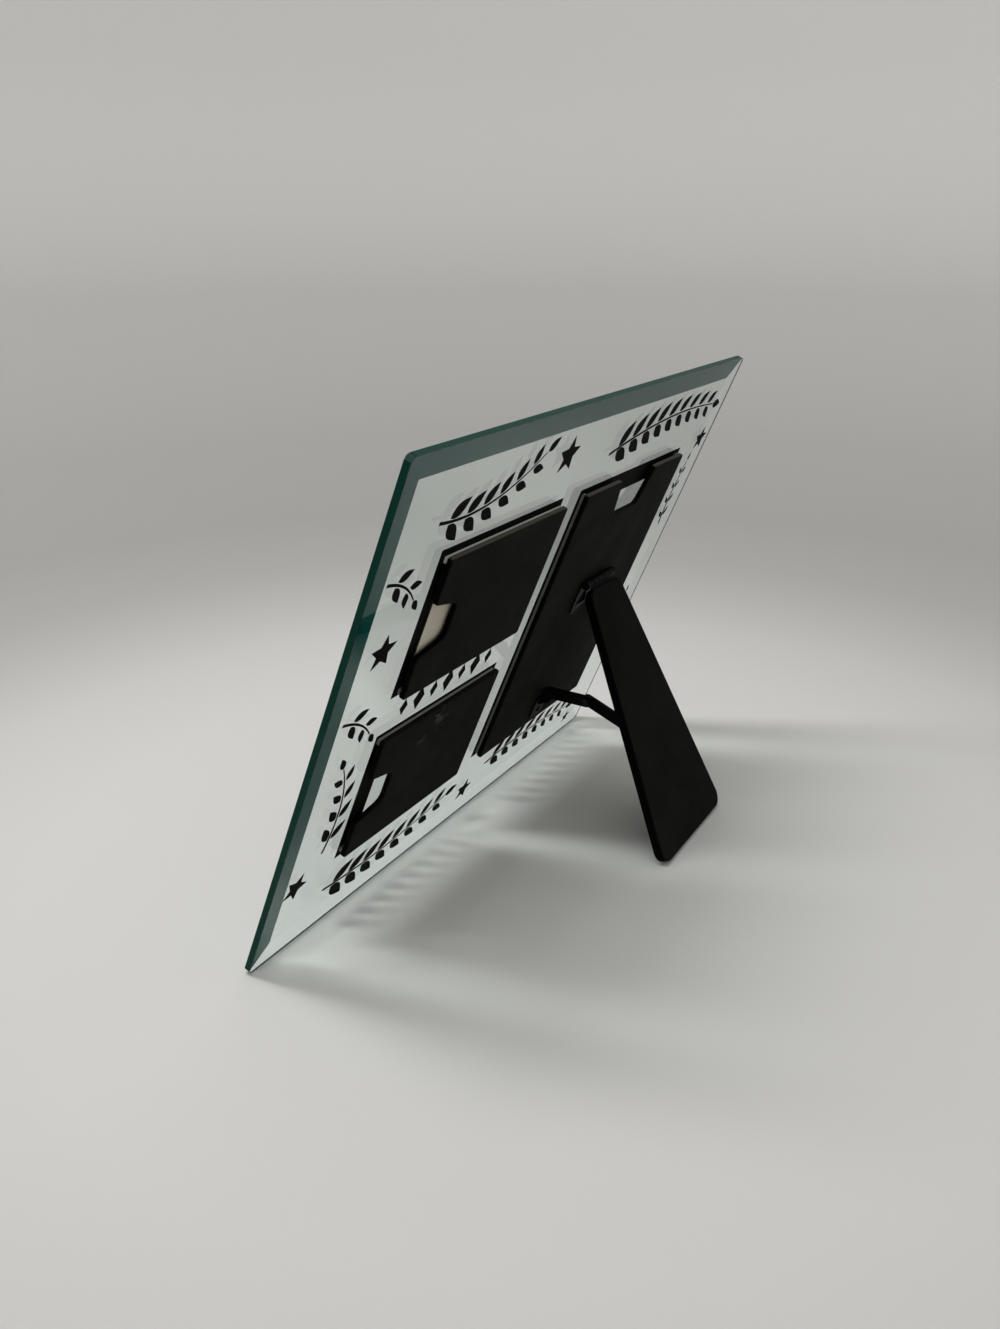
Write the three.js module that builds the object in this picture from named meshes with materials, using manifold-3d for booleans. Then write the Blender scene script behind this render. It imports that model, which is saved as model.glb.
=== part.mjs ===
import * as THREE from "three";
import { mergeVertices } from "three/addons/utils/BufferGeometryUtils.js";
import Module from "manifold-3d";

const wasm = await Module();
wasm.setup();

// A collage picture frame: a bevelled sheet of float glass with three photo pockets
// on its back and a folding easel leg. Sizes are in millimetres, angles in degrees.
// The glass stands on its lower back edge and leans back on the leg. +Z is up, the
// picture side faces -Y, the easel is on the +Y side, and from behind +X is on the left.

// Glass sheet
const GLASS_WIDTH = 305;
const GLASS_HEIGHT = 248;
const GLASS_THICK = 5;
const GLASS_RIM = 3; // thickness that the bevel leaves at the rim
const BEVEL_WIDTH = 11;
const GLASS_CORNER = 3;
const LEAN = 22;

// Layers behind the glass
const GLUE = 0.3; // glue line, also the gap kept between pieces that lie on each other
const SPACER_THICK = 1.2;
const SPACER_WIDTH = 2.6;
const SPACER_INSET = 1;
const BOARD_THICK = 2.4;
const BOARD_CORNER = 1.5;
const WRAP_ROUND = 0.5; // rounding of a board's edges under its paper wrap

// Photo pockets: one upright, two lying, set out about the middle of the glass
const PORTRAIT_WIDTH = 109.5;
const PORTRAIT_HEIGHT = 154;
const LANDSCAPE_WIDTH = 90.5;
const LANDSCAPE_HEIGHT = 66;
const COLUMN_GAP = 19;
const ROW_GAP = 20.5;
const LOWER_SHIFT = 2.5; // the lower board is stuck on a little nearer to the rim

// Finger notches
const PORTRAIT_NOTCH_DEPTH = 19.5;
const PORTRAIT_NOTCH_MOUTH = 38;
const PORTRAIT_NOTCH_INNER = 26;
const LANDSCAPE_NOTCH_DEPTH = 17;
const LANDSCAPE_NOTCH_MOUTH = 25;
const LANDSCAPE_NOTCH_INNER = 17;
const NOTCH_ROUND = 4;

// Card left in the upper pocket
const INSERT_THICK = 0.6;
const INSERT_SIDE_PLAY = 0.5;
const INSERT_SET_BACK = 3.3; // from the open edge of the pocket

// Easel leg
const LEG_OPEN = 46.2; // between the glass and the leg
const LEG_THICK = 4.8;
const LEG_TOP_WIDTH = 33;
const LEG_FOOT_WIDTH = 78;
const LEG_TOP_ROUND = 6;
const LEG_FOOT_ROUND = 6.5;
const LEG_HINGE_GAP = 3.4; // from the hinge pin to the leg's top end
const LEG_CHAMFER = 1.1; // depth of the chamfer inside its top end
const LEG_CHAMFER_RUN = 6;

// Leg hinge: rolled steel leaves on a wire pin
const HINGE_ABOVE_MIDDLE = 19; // pin above the middle of the portrait board
const HINGE_ASIDE = 1.5; // of the middle of the portrait board
const HINGE_WIDTH = 30;
const HINGE_KNUCKLES = 5;
const HINGE_RADIUS = 2.2;
const HINGE_PIN = 1;
const HINGE_LEAF = 19;
const HINGE_LEAF_ROUND = 2.5;
const HINGE_TIP = 2.5; // width of the leaf's two tips, beside the shallow V in its end
const HINGE_VEE = 4.6;
const HINGE_WINDOW = 11; // side of the triangle punched out to make a prong
const LEG_LEAF = 14;

// Folding stay: two flat bars on edge, riveted side by side, between two angle brackets
const STEEL = 0.7; // sheet thickness of leaves and brackets
const STAY_BOARD_DROP = 73; // from the hinge pin down the board to the bracket's rivet
const STAY_LEG_DROP = 88; // from the hinge pin down the leg to the bracket's rivet
const STAY_LINK = 22.25; // rivet to rivet, the bar on the board
const STAY_TURN = 111.4; // that bar's turn from straight down the board
const STAY_BAR = 6.4;
const STAY_BAR_THICK = 1.5;
const STAY_PIN = 1;
const RIVET_HEAD = 1.9;
const RIVET_HEAD_THICK = 0.6;
const BRACKET_WIDTH = 13;
const BRACKET_LEAF = 18.5;
const BRACKET_LEAF_ROUND = 2.5;
const BRACKET_LUG = 10; // length of the upright lug below its rivet
const BRACKET_LUG_ROUND = 2;
const BRACKET_WINDOW = 5;

// Fits
const PRONG_WIDTH = 3;
const PRONG_DEPTH = 1.7;
const SIDE_PLAY = 0.3; // between knuckles and bars, and round a prong or leaf in its slot
const PIN_PLAY = 0.08; // pin in its knuckles, rivet in its hole
const REACH = 40; // how far a cutting tool runs past the piece it cuts
const ARC_STEPS = 6;
const ROUND_STEPS = 24;

const rad = THREE.MathUtils.degToRad;

// Closed geometry to a solid for cutting and joining, and back.
function solid(geometry) {
  const bare = new THREE.BufferGeometry();
  bare.setAttribute("position", geometry.getAttribute("position"));
  bare.setIndex(geometry.getIndex());
  const merged = mergeVertices(bare, 1e-4);
  return new wasm.Manifold(
    new wasm.Mesh({
      numProp: 3,
      vertProperties: merged.getAttribute("position").array,
      triVerts: new Uint32Array(merged.getIndex().array),
    }),
  );
}

function geometryOf(body) {
  const mesh = body.getMesh();
  const geometry = new THREE.BufferGeometry();
  geometry.setAttribute("position", new THREE.BufferAttribute(mesh.vertProperties, mesh.numProp));
  geometry.setIndex(new THREE.BufferAttribute(mesh.triVerts, 1));
  geometry.computeVertexNormals();
  return geometry;
}

function cut(geometry, tools) {
  return geometryOf(tools.reduce((body, tool) => body.subtract(solid(tool)), solid(geometry)));
}

function join(geometry, extras) {
  return geometryOf(extras.reduce((body, extra) => body.add(solid(extra)), solid(geometry)));
}

// A polygon whose corners, each [x, y, radius], are rounded by true arcs.
function outline(corners) {
  const shape = new THREE.Shape();
  corners.forEach(([x, y, radius], i) => {
    const here = new THREE.Vector2(x, y);
    const [before, after] = [corners.at(i - 1), corners[(i + 1) % corners.length]].map(([u, v]) =>
      new THREE.Vector2(u, v).sub(here).normalize(),
    );
    const half = Math.acos(before.dot(after)) / 2;
    const along = radius / Math.tan(half);
    const start = before.clone().multiplyScalar(along).add(here);
    const end = after.clone().multiplyScalar(along).add(here);
    const middle = before.clone().add(after).setLength(radius / Math.sin(half)).add(here);
    const angle = (p) => Math.atan2(p.y - middle.y, p.x - middle.x);
    if (i === 0) shape.moveTo(start.x, start.y);
    else shape.lineTo(start.x, start.y);
    shape.absarc(middle.x, middle.y, radius, angle(start), angle(end), before.cross(after) > 0);
  });
  shape.closePath();
  return shape;
}

// A plate in the X-Z plane, from y = 0 to y = thick, with its edges rounded by round.
function plate(shape, thick, round) {
  const geometry = new THREE.ExtrudeGeometry(shape, {
    depth: thick - 2 * round,
    bevelEnabled: round > 0,
    bevelThickness: round,
    bevelSize: round,
    bevelOffset: -round,
    bevelSegments: 2,
    curveSegments: ARC_STEPS,
  });
  return geometry.rotateX(Math.PI / 2).translate(0, thick - round, 0);
}

// A profile drawn in the Y-Z plane and drawn out along X, centred on x = 0.
function alongX(shape, width) {
  const geometry = new THREE.ExtrudeGeometry(shape, {
    depth: width,
    bevelEnabled: false,
    curveSegments: ROUND_STEPS / 2,
  });
  const turn = new THREE.Matrix4().makeBasis(
    new THREE.Vector3(0, 1, 0),
    new THREE.Vector3(0, 0, 1),
    new THREE.Vector3(1, 0, 0),
  );
  return geometry.applyMatrix4(turn).translate(-width / 2, 0, 0);
}

// A block between two opposite corners.
function block([x0, y0, z0], [x1, y1, z1]) {
  const geometry = new THREE.BoxGeometry(x1 - x0, y1 - y0, z1 - z0);
  return geometry.translate((x0 + x1) / 2, (y0 + y1) / 2, (z0 + z1) / 2);
}

function material(color, roughness, metalness) {
  return new THREE.MeshStandardMaterial({ color, roughness, metalness });
}

function piece(parent, name, geometry, look) {
  const mesh = new THREE.Mesh(geometry, look.clone());
  mesh.name = name;
  parent.add(mesh);
  return mesh;
}

function group(parent, [x, y, z], turn = 0) {
  const made = new THREE.Group();
  made.position.set(x, y, z);
  made.rotation.x = turn;
  parent.add(made);
  return made;
}

const FLOAT_GLASS = material("#9fbdb2", 0.05, 0);
FLOAT_GLASS.transparent = true;
FLOAT_GLASS.opacity = 0.35;
const BLACK_WRAP = material("#1c1c1a", 0.62, 0);
const PALE_STRIP = material("#bab9b3", 0.8, 0);
const CREAM_CARD = material("#c9bda6", 0.7, 0);
const BLACK_STEEL = material("#17171a", 0.38, 0.8);
const BARE_STEEL = material("#6d6e70", 0.35, 1);

// The leaning sheet: y = 0 is the back of the glass and z = 0 its lower edge.
const stand = new THREE.Group();
const sheet = group(stand, [0, 0, 0], -rad(LEAN));

// Bevelled glass: a rounded sheet with one long wedge ground off each front edge.
function bevelWedge(toRim, length) {
  const slope = (GLASS_THICK - GLASS_RIM) / BEVEL_WIDTH;
  const front = -GLASS_THICK - REACH * slope;
  const wedge = new THREE.Shape([
    new THREE.Vector2(-GLASS_RIM + REACH * slope, -toRim - REACH),
    new THREE.Vector2(front, -toRim + BEVEL_WIDTH + REACH),
    new THREE.Vector2(front, -toRim - REACH),
  ]);
  return alongX(wedge, length + 2 * REACH);
}
const glassShape = outline([
  [-GLASS_WIDTH / 2, -GLASS_HEIGHT / 2, GLASS_CORNER],
  [GLASS_WIDTH / 2, -GLASS_HEIGHT / 2, GLASS_CORNER],
  [GLASS_WIDTH / 2, GLASS_HEIGHT / 2, GLASS_CORNER],
  [-GLASS_WIDTH / 2, GLASS_HEIGHT / 2, GLASS_CORNER],
]);
const wedges = [0, 1, 2, 3].map((side) => {
  const upright = side % 2 === 1;
  const toRim = (upright ? GLASS_WIDTH : GLASS_HEIGHT) / 2;
  const length = upright ? GLASS_HEIGHT : GLASS_WIDTH;
  return bevelWedge(toRim, length).rotateY((side * Math.PI) / 2);
});
const glassBlank = plate(glassShape, GLASS_THICK, 0).translate(0, -GLASS_THICK, 0);
const glass = piece(sheet, "glass_panel", cut(glassBlank, wedges), FLOAT_GLASS);
glass.position.z = GLASS_HEIGHT / 2;

// A pocket stands with its notch up and is turned a quarter for the lying ones.
const BOARD_Y = 2 * GLUE + SPACER_THICK;
const BOARD_FACE = BOARD_Y + BOARD_THICK;

function boardBlank(width, height, depth, mouth, inner) {
  const shape = outline([
    [-width / 2, -height / 2, BOARD_CORNER],
    [width / 2, -height / 2, BOARD_CORNER],
    [width / 2, height / 2, BOARD_CORNER],
    [mouth / 2, height / 2, BOARD_CORNER],
    [inner / 2, height / 2 - depth, NOTCH_ROUND],
    [-inner / 2, height / 2 - depth, NOTCH_ROUND],
    [-mouth / 2, height / 2, BOARD_CORNER],
    [-width / 2, height / 2, BOARD_CORNER],
  ]);
  return plate(shape, BOARD_THICK, WRAP_ROUND).translate(0, BOARD_Y, 0);
}

// Two side strips and one across the closed end keep the board off the glass.
function spacers(pocket, name, width, height, ends) {
  const side = width / 2 - SPACER_INSET;
  const low = -height / 2 + SPACER_INSET;
  const high = height / 2 - SPACER_INSET;
  const back = GLUE + SPACER_THICK;
  const inner = side - SPACER_WIDTH;
  const shelf = low + SPACER_WIDTH;
  piece(pocket, `${name}_spacer_${ends[0]}`, block([inner, GLUE, low], [side, back, high]), PALE_STRIP);
  piece(pocket, `${name}_spacer_${ends[1]}`, block([-side, GLUE, low], [-inner, back, high]), PALE_STRIP);
  const across = block([-inner + GLUE, GLUE, low], [inner - GLUE, back, shelf]);
  piece(pocket, `${name}_spacer_${ends[2]}`, across, PALE_STRIP);
  return { inner, shelf };
}

const MIDDLE = GLASS_HEIGHT / 2;
const columns = LANDSCAPE_WIDTH + COLUMN_GAP + PORTRAIT_WIDTH;
const portraitX = (PORTRAIT_WIDTH - columns) / 2;
const landscapeX = (columns - LANDSCAPE_WIDTH) / 2;
const rowStep = (LANDSCAPE_HEIGHT + ROW_GAP) / 2;

function lyingPocket(name, x, up) {
  const pocket = group(sheet, [x, 0, up]);
  pocket.rotation.y = Math.PI / 2;
  const board = boardBlank(
    LANDSCAPE_HEIGHT,
    LANDSCAPE_WIDTH,
    LANDSCAPE_NOTCH_DEPTH,
    LANDSCAPE_NOTCH_MOUTH,
    LANDSCAPE_NOTCH_INNER,
  );
  piece(pocket, `${name}_board`, board, BLACK_WRAP);
  const room = spacers(pocket, name, LANDSCAPE_HEIGHT, LANDSCAPE_WIDTH, ["bottom", "top", "end"]);
  return { pocket, room };
}

const upper = lyingPocket("upper", landscapeX, MIDDLE + rowStep);
lyingPocket("lower", landscapeX + LOWER_SHIFT, MIDDLE - rowStep);

// The card fills the upper pocket between its strips, a little back from the open edge.
const cardSide = upper.room.inner - INSERT_SIDE_PLAY;
const card = block(
  [-cardSide, GLUE, upper.room.shelf + GLUE],
  [cardSide, GLUE + INSERT_THICK, LANDSCAPE_WIDTH / 2 - INSERT_SET_BACK],
);
piece(upper.pocket, "photo_insert", card, CREAM_CARD);

const portrait = group(sheet, [portraitX, 0, MIDDLE]);
spacers(portrait, "portrait", PORTRAIT_WIDTH, PORTRAIT_HEIGHT, ["left", "right", "bottom"]);

// Pins of the leg and the stay, on the leaning sheet.
const hingeX = portraitX + HINGE_ASIDE;
const hingeY = BOARD_FACE + GLUE + HINGE_RADIUS;
const hingeZ = MIDDLE + HINGE_ABOVE_MIDDLE;
const stayY = BOARD_FACE + GLUE + STAY_BAR / 2;
const legFace = -LEG_THICK / 2; // the leg's inner face, seen from the hinge pin
const legStayY = legFace - GLUE - STAY_BAR / 2;

// A rolled leaf hangs down from its pin at the origin: a strip that runs into a barrel.
function rolledLeaf(width, length, radius, pin, offset) {
  const meet = (y) => -Math.sqrt(Math.max(radius * radius - y * y, 0));
  const [y0, y1] = [offset, offset + STEEL];
  const shape = new THREE.Shape();
  shape.moveTo(y0, -length);
  shape.lineTo(y0, meet(y0));
  shape.absarc(0, 0, radius, Math.atan2(meet(y0), y0), Math.atan2(meet(y1), y1), true);
  shape.lineTo(y1, -length);
  shape.closePath();
  shape.holes.push(new THREE.Path().absarc(0, 0, pin + PIN_PLAY, 0, 2 * Math.PI));
  return alongX(shape, width);
}

// Room for the other leaf's knuckle between x0 and x1 of a barrel at the origin.
function knuckleGap(x0, x1, radius) {
  const below = -radius - SIDE_PLAY;
  return block([x0 - SIDE_PLAY, -REACH, below], [x1 + SIDE_PLAY, REACH, radius + REACH]);
}

// A leaf is trimmed to this plate, which rounds off its two lower corners.
function trimmed(leaf, width, length, round, radius) {
  const shape = outline([
    [-width / 2, -length, round],
    [width / 2, -length, round],
    [width / 2, radius + SIDE_PLAY, SIDE_PLAY],
    [-width / 2, radius + SIDE_PLAY, SIDE_PLAY],
  ]);
  const keep = plate(shape, 2 * REACH, 0).translate(0, -REACH, 0);
  return geometryOf(solid(leaf).intersect(solid(keep)));
}

// Each prong is punched out of a triangular window, whose tip is at top, and bent over at
// the window's base into the wood behind.
function windowBase(top, side) {
  return top - (side * Math.sqrt(3)) / 2;
}

function windowed(leaf, centres, top, side, offset) {
  const base = windowBase(top, side);
  const windows = centres.map((x) => {
    const triangle = new THREE.Shape([
      new THREE.Vector2(x - side / 2, base),
      new THREE.Vector2(x + side / 2, base),
      new THREE.Vector2(x, top),
    ]);
    return plate(triangle, 2 * REACH, 0).translate(0, -REACH, 0);
  });
  const prongs = centres.map((x) =>
    block(
      [x - PRONG_WIDTH / 2, offset - PRONG_DEPTH, base - STEEL],
      [x + PRONG_WIDTH / 2, offset + STEEL, base],
    ),
  );
  return join(cut(leaf, windows), prongs);
}

// The slots that those prongs are pressed into, in the leaf's own frame.
function prongSlots(centres, base, offset) {
  const half = PRONG_WIDTH / 2 + SIDE_PLAY;
  return centres.map((x) =>
    block(
      [x - half, offset - PRONG_DEPTH - SIDE_PLAY, base - STEEL - SIDE_PLAY],
      [x + half, offset + REACH, base + SIDE_PLAY],
    ),
  );
}

// A headed pin along X, between = the width of the barrel that it holds together.
function headedPin(radius, head, between) {
  const half = between / 2 + SIDE_PLAY;
  const end = half + RIVET_HEAD_THICK;
  const profile = [
    [0, -end],
    [head, -end],
    [head, -half],
    [radius, -half],
    [radius, half],
    [head, half],
    [head, end],
    [0, end],
  ].map(([r, y]) => new THREE.Vector2(r, y));
  return new THREE.LatheGeometry(profile, ROUND_STEPS).rotateZ(Math.PI / 2);
}

// Leg hinge. The board's leaf has the odd knuckles, the leg's leaf the even ones.
const knuckle = HINGE_WIDTH / HINGE_KNUCKLES;
const hingeGaps = (odd) =>
  Array.from({ length: HINGE_KNUCKLES }, (_, i) => i)
    .filter((i) => (i % 2 === 1) === odd)
    .map((i) => {
      const x = -HINGE_WIDTH / 2 + i * knuckle;
      return knuckleGap(x, x + knuckle, HINGE_RADIUS);
    });
const hingeProngs = [-HINGE_WIDTH / 4, HINGE_WIDTH / 4];
const hingeWindowTop = -HINGE_RADIUS - 2 * STEEL - SIDE_PLAY;
const veeSide = HINGE_WIDTH / 2 - HINGE_TIP;
const vee = new THREE.Shape([
  new THREE.Vector2(-veeSide, -HINGE_LEAF - HINGE_VEE),
  new THREE.Vector2(veeSide, -HINGE_LEAF - HINGE_VEE),
  new THREE.Vector2(veeSide, -HINGE_LEAF),
  new THREE.Vector2(0, -HINGE_LEAF + HINGE_VEE),
  new THREE.Vector2(-veeSide, -HINGE_LEAF),
]);
const boardLeaf = windowed(
  cut(
    trimmed(
      rolledLeaf(HINGE_WIDTH + SIDE_PLAY, HINGE_LEAF + SIDE_PLAY, HINGE_RADIUS, HINGE_PIN, -HINGE_RADIUS),
      HINGE_WIDTH,
      HINGE_LEAF,
      HINGE_LEAF_ROUND,
      HINGE_RADIUS,
    ),
    [...hingeGaps(true), plate(vee, 2 * REACH, 0).translate(0, -REACH, 0)],
  ),
  hingeProngs,
  hingeWindowTop,
  HINGE_WINDOW,
  -HINGE_RADIUS,
);
const hinge = group(sheet, [hingeX, hingeY, hingeZ]);
piece(hinge, "hinge_board_leaf", boardLeaf, BLACK_STEEL);
const pinHead = (HINGE_PIN + HINGE_RADIUS) / 2;
piece(hinge, "hinge_pin", headedPin(HINGE_PIN, pinHead, HINGE_WIDTH), BLACK_STEEL);

// Easel leg: a tapered board hung from the pin, long enough to reach the table.
const tilt = rad(LEG_OPEN - LEAN); // the leg's slope from upright
const pinHeight = hingeZ * Math.cos(rad(LEAN)) - hingeY * Math.sin(rad(LEAN));
const footDrop = WRAP_ROUND + (LEG_THICK / 2 - WRAP_ROUND) * Math.sin(tilt);
const legLength = WRAP_ROUND + (pinHeight - footDrop) / Math.cos(tilt);
const leg = group(sheet, [hingeX, hingeY, hingeZ], rad(LEG_OPEN));

const legShape = outline([
  [-LEG_FOOT_WIDTH / 2, -legLength, LEG_FOOT_ROUND],
  [LEG_FOOT_WIDTH / 2, -legLength, LEG_FOOT_ROUND],
  [LEG_TOP_WIDTH / 2, -LEG_HINGE_GAP, LEG_TOP_ROUND],
  [-LEG_TOP_WIDTH / 2, -LEG_HINGE_GAP, LEG_TOP_ROUND],
]);
const legBlank = plate(legShape, LEG_THICK, WRAP_ROUND).translate(0, legFace, 0);

// Its top end is chamfered inside, to clear the board's leaf when the leg is folded.
const chamfer = alongX(
  new THREE.Shape([
    new THREE.Vector2(legFace + LEG_CHAMFER, -LEG_HINGE_GAP),
    new THREE.Vector2(legFace, -LEG_HINGE_GAP - LEG_CHAMFER_RUN),
    new THREE.Vector2(legFace - REACH, -LEG_HINGE_GAP - LEG_CHAMFER_RUN),
    new THREE.Vector2(legFace - REACH, REACH),
    new THREE.Vector2(legFace + LEG_CHAMFER, REACH),
  ]),
  2 * REACH,
);

// The leg's leaf is let into a slot in that end.
const leafSide = LEG_TOP_WIDTH / 2 - LEG_TOP_ROUND;
const leafSlot = block(
  [-leafSide - SIDE_PLAY, -STEEL / 2 - SIDE_PLAY, -LEG_LEAF - SIDE_PLAY],
  [leafSide + SIDE_PLAY, STEEL / 2 + SIDE_PLAY, REACH],
);
const shoulders = [-1, 1].map((side) => {
  const [near, far] = [leafSide * side, REACH * side].sort((a, b) => a - b);
  return block([near, -REACH, -REACH], [far, REACH, -HINGE_RADIUS - SIDE_PLAY]);
});
const legLeaf = cut(rolledLeaf(HINGE_WIDTH, LEG_LEAF, HINGE_RADIUS, HINGE_PIN, -STEEL / 2), [
  ...hingeGaps(false),
  ...shoulders,
]);
piece(leg, "hinge_leg_leaf", legLeaf, BLACK_STEEL);

// Stay brackets: a plate with a prong below and an upright lug bent out of a window in it.
// From left to right: lug and bar of the board, then bar and lug of the leg.
const barHalf = STAY_BAR / 2;
const barInner = SIDE_PLAY / 2;
const barOuter = barInner + STAY_BAR_THICK;
const lugInner = barOuter + SIDE_PLAY;
const lugOuter = lugInner + STEEL;
const plateTop = -barHalf - SIDE_PLAY;
const bracketPlate = plate(
  outline([
    [-BRACKET_WIDTH / 2, -BRACKET_LEAF, BRACKET_LEAF_ROUND],
    [BRACKET_WIDTH / 2, -BRACKET_LEAF, BRACKET_LEAF_ROUND],
    [BRACKET_WIDTH / 2, plateTop, SIDE_PLAY],
    [-BRACKET_WIDTH / 2, plateTop, SIDE_PLAY],
  ]),
  STEEL,
  0,
).translate(0, -barHalf, 0);
const lugWindow = block([lugInner - STAY_BAR, -REACH, -BRACKET_LUG], [lugInner, REACH, REACH]);
const lugShape = outline([
  [-barHalf, -BRACKET_LUG, SIDE_PLAY],
  [-barHalf, barHalf, barHalf - SIDE_PLAY],
  [barHalf, barHalf, barHalf - SIDE_PLAY],
  [barHalf, plateTop, BRACKET_LUG_ROUND],
]);
lugShape.holes.push(new THREE.Path().absarc(0, 0, STAY_PIN + PIN_PLAY, 0, 2 * Math.PI));
const lug = alongX(lugShape, STEEL).translate((lugInner + lugOuter) / 2, 0, 0);
const bracketProngs = [0];
const bracketWindowTop = -BRACKET_LUG - STEEL;
const bracketLeaf = join(
  windowed(
    cut(bracketPlate, [lugWindow]),
    bracketProngs,
    bracketWindowTop,
    BRACKET_WINDOW,
    -barHalf,
  ),
  [lug],
);

// A rivet along X: its flush end at x = 0, its head past a grip of that length.
function rivet(grip) {
  const under = grip + SIDE_PLAY;
  const profile = [
    [0, 0],
    [STAY_PIN, 0],
    [STAY_PIN, under],
    [RIVET_HEAD, under],
    [RIVET_HEAD, under + RIVET_HEAD_THICK],
    [0, under + RIVET_HEAD_THICK],
  ].map(([r, y]) => new THREE.Vector2(r, y));
  return new THREE.LatheGeometry(profile, ROUND_STEPS).rotateZ(-Math.PI / 2);
}
const endRivet = rivet(lugOuter - barInner).translate(barInner, 0, 0);
const middleRivet = rivet(STAY_BAR_THICK).translate(barInner, 0, 0);
const turned = (geometry) => geometry.clone().rotateZ(Math.PI);

const boardBracket = group(sheet, [hingeX, stayY, hingeZ - STAY_BOARD_DROP]);
piece(boardBracket, "stay_board_bracket", bracketLeaf, BLACK_STEEL);
piece(boardBracket, "stay_board_rivet", endRivet, BARE_STEEL);

// The leg's bracket faces the other way, so it is turned about the leg's length.
const legBracket = group(leg, [0, legStayY, -STAY_LEG_DROP]);
piece(legBracket, "stay_leg_bracket", turned(bracketLeaf), BLACK_STEEL);
piece(legBracket, "stay_leg_rivet", turned(endRivet), BARE_STEEL);

// The wrapped boards are slotted for the prongs that are pressed into them.
const hingeSlots = prongSlots(hingeProngs, windowBase(hingeWindowTop, HINGE_WINDOW), -HINGE_RADIUS);
const bracketSlots = prongSlots(bracketProngs, windowBase(bracketWindowTop, BRACKET_WINDOW), -barHalf);
const portraitBlank = boardBlank(
  PORTRAIT_WIDTH,
  PORTRAIT_HEIGHT,
  PORTRAIT_NOTCH_DEPTH,
  PORTRAIT_NOTCH_MOUTH,
  PORTRAIT_NOTCH_INNER,
);
const portraitBoard = cut(portraitBlank, [
  ...hingeSlots.map((slot) => slot.translate(HINGE_ASIDE, hingeY, HINGE_ABOVE_MIDDLE)),
  ...bracketSlots.map((slot) =>
    slot.clone().translate(HINGE_ASIDE, stayY, HINGE_ABOVE_MIDDLE - STAY_BOARD_DROP),
  ),
]);
piece(portrait, "portrait_board", portraitBoard, BLACK_WRAP);
const legBoard = cut(legBlank, [
  chamfer,
  leafSlot,
  ...bracketSlots.map((slot) => turned(slot).translate(0, legStayY, -STAY_LEG_DROP)),
]);
piece(leg, "easel_leg", legBoard, BLACK_WRAP);

// A stay bar hangs from its rivet at the origin, with a second hole length below it.
function stayBar(length) {
  const shape = new THREE.Shape();
  shape.moveTo(barHalf, -length);
  shape.lineTo(barHalf, 0);
  shape.absarc(0, 0, barHalf, 0, Math.PI, false);
  shape.lineTo(-barHalf, -length);
  shape.absarc(0, -length, barHalf, Math.PI, 2 * Math.PI, false);
  for (const z of [0, -length])
    shape.holes.push(new THREE.Path().absarc(0, z, STAY_PIN + PIN_PLAY, 0, 2 * Math.PI));
  return alongX(shape, STAY_BAR_THICK).translate((barInner + barOuter) / 2, 0, 0);
}

// The middle rivet's place, from the board's bar, and the leg's bar that meets it there.
const middle = new THREE.Vector2(
  stayY + STAY_LINK * Math.sin(rad(STAY_TURN)),
  hingeZ - STAY_BOARD_DROP - STAY_LINK * Math.cos(rad(STAY_TURN)),
);
const onLeg = new THREE.Vector2(middle.x - hingeY, middle.y - hingeZ)
  .rotateAround(new THREE.Vector2(), -rad(LEG_OPEN))
  .sub(new THREE.Vector2(legStayY, -STAY_LEG_DROP));
const legBarLength = onLeg.length();

const boardLink = group(sheet, [hingeX, stayY, hingeZ - STAY_BOARD_DROP], rad(STAY_TURN));
piece(boardLink, "stay_board_bar", stayBar(STAY_LINK), BLACK_STEEL);
const boardMiddle = piece(boardLink, "stay_middle_rivet_left", middleRivet, BARE_STEEL);
boardMiddle.position.z = -STAY_LINK;

const legLink = group(leg, [0, legStayY, -STAY_LEG_DROP], Math.atan2(onLeg.x, -onLeg.y));
piece(legLink, "stay_leg_bar", turned(stayBar(legBarLength)), BLACK_STEEL);
const legMiddle = piece(legLink, "stay_middle_rivet_right", turned(middleRivet), BARE_STEEL);
legMiddle.position.z = -legBarLength;

// The origin lies on the table in the middle of the ground that the frame covers.
const bounds = new THREE.Box3().setFromObject(stand, true);
const ground = bounds.getCenter(new THREE.Vector3());
stand.position.set(-ground.x, -ground.y, -bounds.min.z);

const frame = new THREE.Group();
frame.name = "collage_frame";
frame.add(stand);
export default frame;
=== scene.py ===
import math

import bmesh
import bpy
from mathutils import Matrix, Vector


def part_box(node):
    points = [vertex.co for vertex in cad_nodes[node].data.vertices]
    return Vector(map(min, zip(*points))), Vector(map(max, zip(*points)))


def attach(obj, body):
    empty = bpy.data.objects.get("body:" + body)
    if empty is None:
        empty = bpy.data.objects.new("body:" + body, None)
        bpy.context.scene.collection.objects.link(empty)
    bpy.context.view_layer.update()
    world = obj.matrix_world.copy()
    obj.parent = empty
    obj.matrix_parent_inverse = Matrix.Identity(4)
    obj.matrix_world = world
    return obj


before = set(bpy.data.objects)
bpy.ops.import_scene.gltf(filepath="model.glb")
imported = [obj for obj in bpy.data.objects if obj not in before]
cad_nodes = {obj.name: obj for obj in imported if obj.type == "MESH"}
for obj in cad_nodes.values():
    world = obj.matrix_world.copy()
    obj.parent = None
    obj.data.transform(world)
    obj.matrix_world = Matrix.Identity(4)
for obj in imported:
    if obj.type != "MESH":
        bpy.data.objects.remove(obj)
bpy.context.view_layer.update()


# Glass panel: one sheet of 5 mm float glass, cut square, its rim ground flat and a
# wide bevel ground and polished along all four front edges. Strips glued to its back
# carry the rest, and it stands on its lower back edge.
LEAN = math.radians(22)
GLASS_WIDTH = 0.305
GLASS_HEIGHT = 0.248
RIM = 0.003
BEVEL = 0.011
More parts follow.
